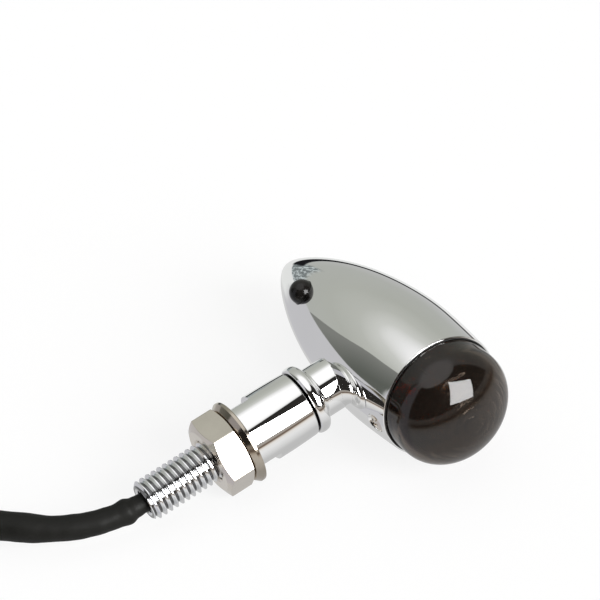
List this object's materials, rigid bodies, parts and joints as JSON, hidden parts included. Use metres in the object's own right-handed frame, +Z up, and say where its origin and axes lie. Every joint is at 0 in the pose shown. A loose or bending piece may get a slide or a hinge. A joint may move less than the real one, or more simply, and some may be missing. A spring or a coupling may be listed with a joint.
{
  "type": "turn signal indicator",
  "caption": "Bullet-shaped chrome turn signal with a smoked dome lens on a swivelling side stem, threaded mounting stud, nut, washer and sheathed leads.",
  "frame": {"origin": "on the stem axis, in the plane of the barrel's clamping shoulder where the washer rests", "axes": "+X along the stem towards the head, the lens looks along -Y, +Z up"},
  "size_m": [0.1449, 0.0779, 0.0384],
  "materials": {
    "chrome_plate": "bright chrome plate",
    "zinc_steel": "bright zinc plate",
    "nickel_steel": "satin nickel plate",
    "spring_steel": "oiled spring steel",
    "black_rubber": "matte black",
    "smoked_lens": "gloss smoked brown",
    "jewel_plastic": "gloss dark smoke",
    "bright_reflector": "vacuum metallised",
    "plated_brass": "nickel plated brass",
    "amber_glass": "clear amber",
    "solder": "dull solder",
    "black_glass": "black vitreous",
    "tungsten": "dull",
    "phenolic": "brown laminate",
    "orange_wire": "satin insulation",
    "black_wire": "satin insulation",
    "black_pvc": "matte sleeve",
    "terminal_brass": "bright brass",
    "clear_black_sleeve": "soft vinyl"
  },
  "bodies": {
    "stem": {"barrel": "chrome_plate", "threaded_stud": "zinc_steel", "thrust_washer": "zinc_steel", "cable_sheath": "black_pvc", "live_wire": "orange_wire", "earth_wire": "black_wire", "live_terminal": "terminal_brass", "earth_terminal": "terminal_brass", "live_terminal_sleeve": "clear_black_sleeve", "earth_terminal_sleeve": "clear_black_sleeve"},
    "head": {"housing_shell": "chrome_plate", "neck_tube": "chrome_plate", "neck_nut": "zinc_steel", "swivel_oring": "black_rubber", "spring_washer": "spring_steel", "circlip": "spring_steel", "lens": "smoked_lens", "lens_gasket": "black_rubber", "reflector": "bright_reflector", "bulb_socket": "plated_brass", "socket_insulator": "phenolic", "socket_spring": "spring_steel", "telltale_jewel": "jewel_plastic", "jewel_ring": "spring_steel", "live_lead": "orange_wire", "earth_lead": "black_wire", "earth_tag": "plated_brass"},
    "bulb": {"bulb_glass": "amber_glass", "bulb_base": "plated_brass", "bulb_insulator": "black_glass", "bulb_contact": "solder", "bulb_filament": "tungsten"},
    "retaining_screw": {"lens_screw": "nickel_steel"},
    "washer": {"flat_washer": "nickel_steel"},
    "nut": {"hex_nut": "nickel_steel"}
  },
  "joints": [
    {"name": "head_swivel", "type": "hinge", "parent": "stem", "child": "head", "pos_m": [0.0142, 0, 0], "axis": [1, 0, 0], "range_deg": [-90, 90]},
    {"name": "fastener_travel", "type": "slide", "parent": "stem", "child": "washer", "axis": [-1, 0, 0], "range_m": [0, 0.0155]},
    {"name": "nut_turn", "type": "hinge", "parent": "washer", "child": "nut", "pos_m": [-0.0054, 0, 0], "axis": [-1, 0, 0], "range_deg": [0, 3720.1]},
    {"name": "bulb_turn", "type": "hinge", "parent": "head", "child": "bulb", "pos_m": [0.0395, 0.003, 0], "axis": [0, -1, 0], "range_deg": [0, 20]},
    {"name": "lens_screw_turn", "type": "hinge", "parent": "head", "child": "retaining_screw", "pos_m": [0.0251, -0.0181, 0], "axis": [-1, 0, 0], "range_deg": [0, 3150]}
  ],
  "couplings": [
    {"joint": "nut_turn", "follows": "fastener_travel", "rad_per_m": 4188.8}
  ]
}
